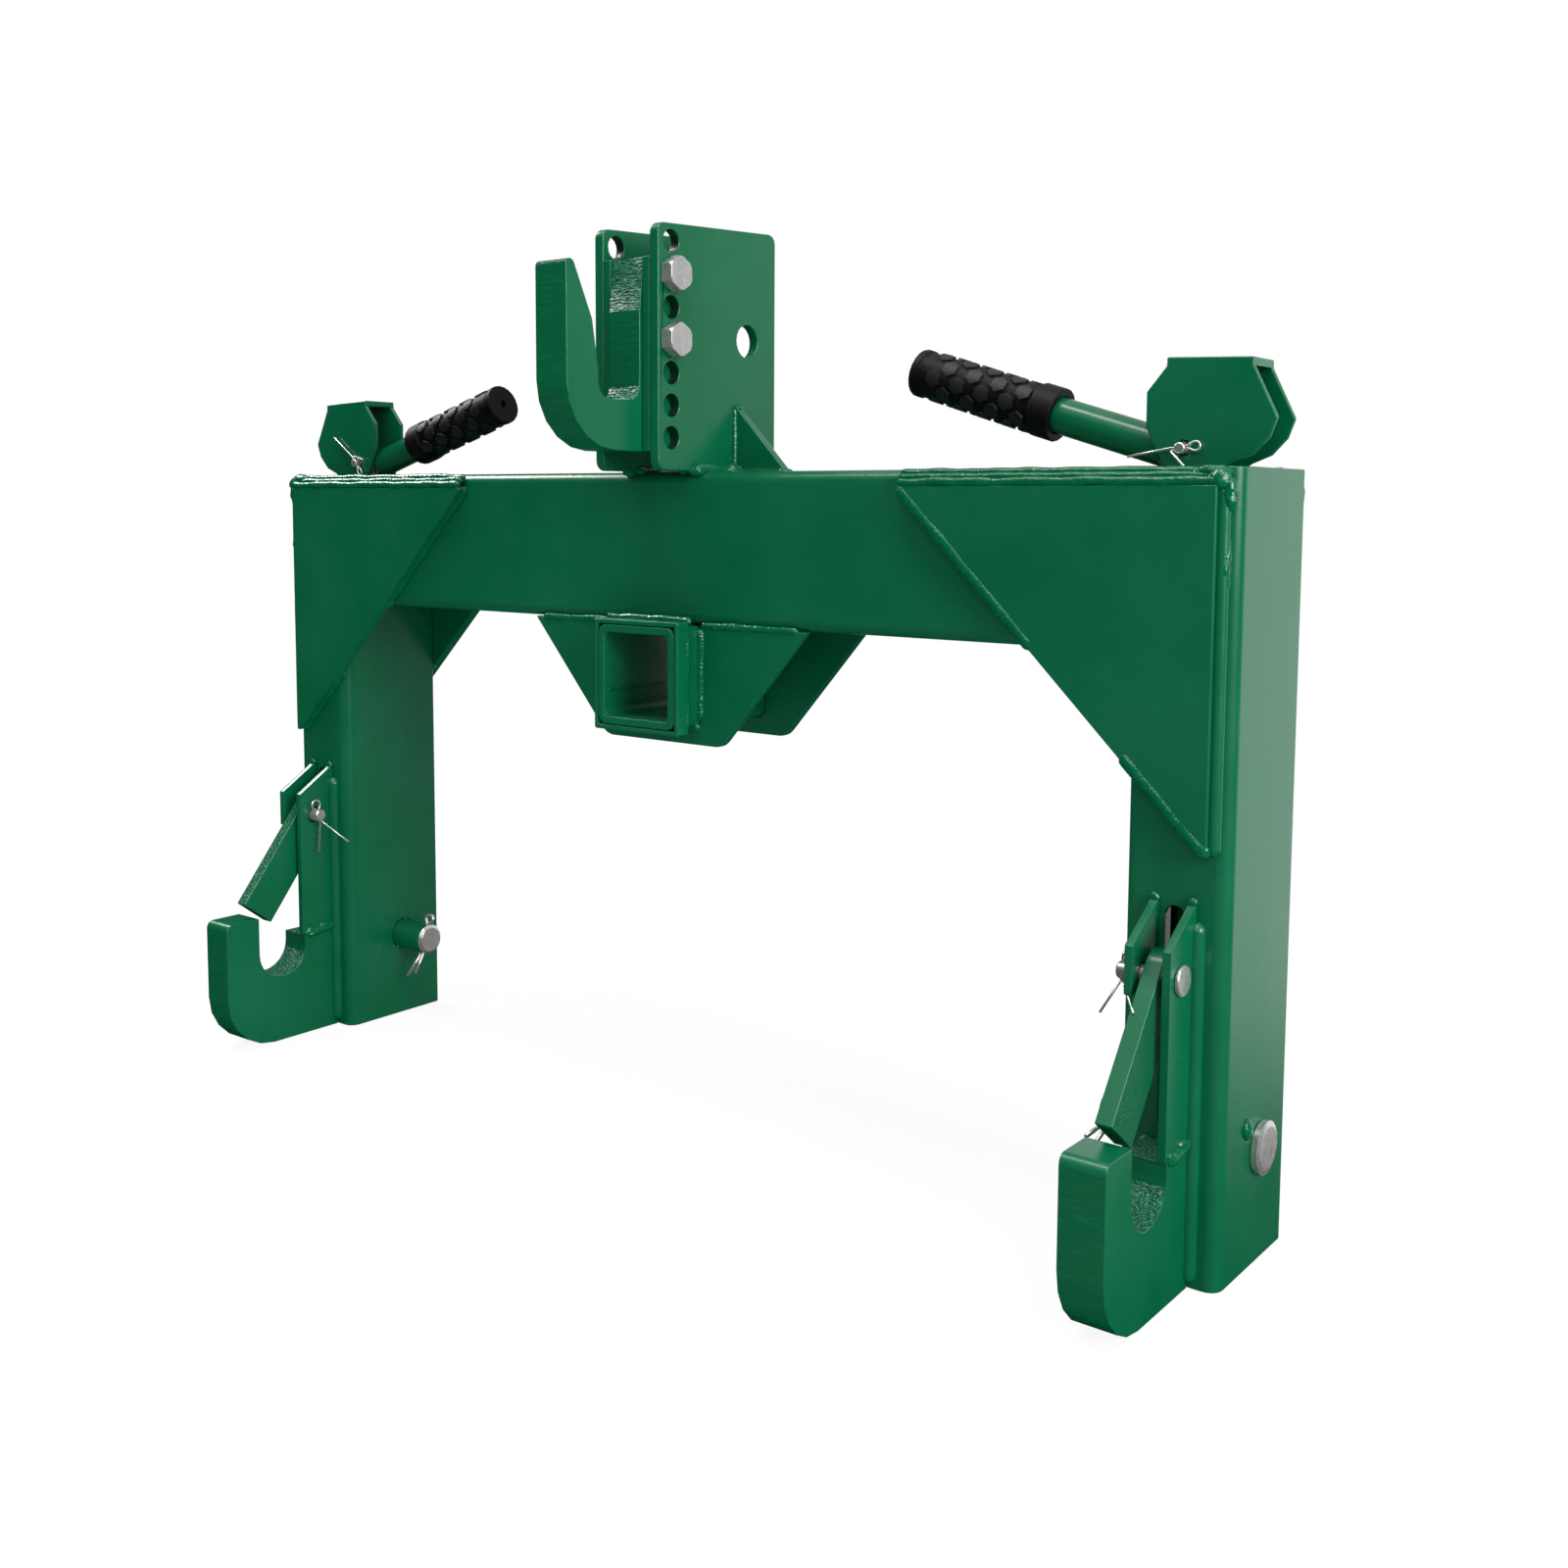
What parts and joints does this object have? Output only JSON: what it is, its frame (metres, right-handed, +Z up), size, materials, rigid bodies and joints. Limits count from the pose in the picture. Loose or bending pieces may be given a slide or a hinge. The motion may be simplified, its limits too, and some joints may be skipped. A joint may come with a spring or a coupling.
{
  "type": "three point quick hitch",
  "caption": "Tractor quick hitch frame with open lower hooks and levered latches, a bolted top hook between mast plates, and a square receiver tube under the crossbar.",
  "frame": {"origin": "middle of the frame's width and depth, level with the undersides of the uprights and the lower hooks", "axes": "+X along the crossbar to the right as the hooks are faced, -Y the way the hooks open towards the implement, +Y towards the tractor, +Z up"},
  "size_m": [0.7534, 0.188, 0.5634],
  "materials": {
    "green_paint": "glossy dark green enamel over welded steel",
    "zinc": "bright zinc plated fasteners and pins",
    "bare_steel": "oiled steel rod and spring",
    "black_rubber": "matt black moulded rubber"
  },
  "bodies": {
    "frame": {"crossbar": "green_paint", "upright_left": "green_paint", "upright_right": "green_paint", "cap_left": "green_paint", "cap_right": "green_paint", "gusset_front_left": "green_paint", "gusset_front_right": "green_paint", "gusset_rear_left": "green_paint", "gusset_rear_right": "green_paint", "receiver_tube": "green_paint", "receiver_collar": "green_paint", "receiver_bracket_front": "green_paint", "receiver_bracket_rear": "green_paint", "mast_plate_left": "green_paint", "mast_plate_right": "green_paint", "mast_rib_left": "green_paint", "mast_rib_right": "green_paint", "top_hook": "green_paint", "top_hook_spacer_left": "green_paint", "top_hook_spacer_right": "green_paint", "top_hook_bolt_lower": "zinc", "top_hook_bolt_upper": "zinc", "lower_hook_left": "green_paint", "lower_hook_right": "green_paint", "latch_guard_left_long": "green_paint", "latch_guard_left_short": "green_paint", "latch_guard_right_long": "green_paint", "latch_guard_right_short": "green_paint", "latch_pin_left": "zinc", "latch_pin_right": "zinc", "latch_cotter_left": "zinc", "latch_cotter_right": "zinc", "draft_pin_left": "zinc", "draft_pin_right": "zinc", "draft_cotter_left": "zinc", "draft_cotter_right": "zinc"},
    "rod_left": {"lock_rod_left": "bare_steel", "link_pin_left": "bare_steel", "spring_washer_left": "zinc", "spring_left": "bare_steel"},
    "rod_right": {"lock_rod_right": "bare_steel", "link_pin_right": "bare_steel", "spring_washer_right": "zinc", "spring_right": "bare_steel"},
    "lever_left": {"lever_head_left": "green_paint", "lever_bar_left": "green_paint", "lever_grip_left": "black_rubber", "lever_pin_left": "zinc", "lever_cotter_left": "zinc"},
    "lever_right": {"lever_head_right": "green_paint", "lever_bar_right": "green_paint", "lever_grip_right": "black_rubber", "lever_pin_right": "zinc", "lever_cotter_right": "zinc"},
    "latch_arm_left": {"latch_left": "green_paint"},
    "latch_arm_right": {"latch_right": "green_paint"}
  },
  "joints": [
    {"name": "rod_slide_left", "type": "slide", "parent": "frame", "child": "rod_left", "axis": [0, 0, 1], "range_m": [0, 0.0411], "stiffness_N_per_m": 1500, "springref_m": -0.03, "deforming": ["spring_left"]},
    {"name": "rod_slide_right", "type": "slide", "parent": "frame", "child": "rod_right", "axis": [0, 0, 1], "range_m": [0, 0.0411], "stiffness_N_per_m": 1500, "springref_m": -0.03, "deforming": ["spring_right"]},
    {"name": "lever_swing_left", "type": "hinge", "parent": "rod_left", "child": "lever_left", "pos_m": [-0.328, 0.04, 0.4231], "axis": [0, -1, 0], "range_deg": [0, 90]},
    {"name": "lever_swing_right", "type": "hinge", "parent": "rod_right", "child": "lever_right", "pos_m": [0.328, 0.04, 0.4231], "axis": [0, 1, 0], "range_deg": [0, 90]},
    {"name": "latch_swing_left", "type": "hinge", "parent": "frame", "child": "latch_arm_left", "pos_m": [-0.3423, -0.018, 0.1633], "axis": [1, 0, 0], "range_deg": [0, 39]},
    {"name": "latch_swing_right", "type": "hinge", "parent": "frame", "child": "latch_arm_right", "pos_m": [0.3423, -0.018, 0.1633], "axis": [1, 0, 0], "range_deg": [0, 39]}
  ],
  "couplings": [
    {"joint": "rod_slide_left", "follows": "lever_swing_left", "m_per_rad": 0.0261},
    {"joint": "latch_swing_left", "follows": "lever_swing_left", "ratio": 0.4325},
    {"joint": "rod_slide_right", "follows": "lever_swing_right", "m_per_rad": 0.0261},
    {"joint": "latch_swing_right", "follows": "lever_swing_right", "ratio": 0.4325}
  ]
}
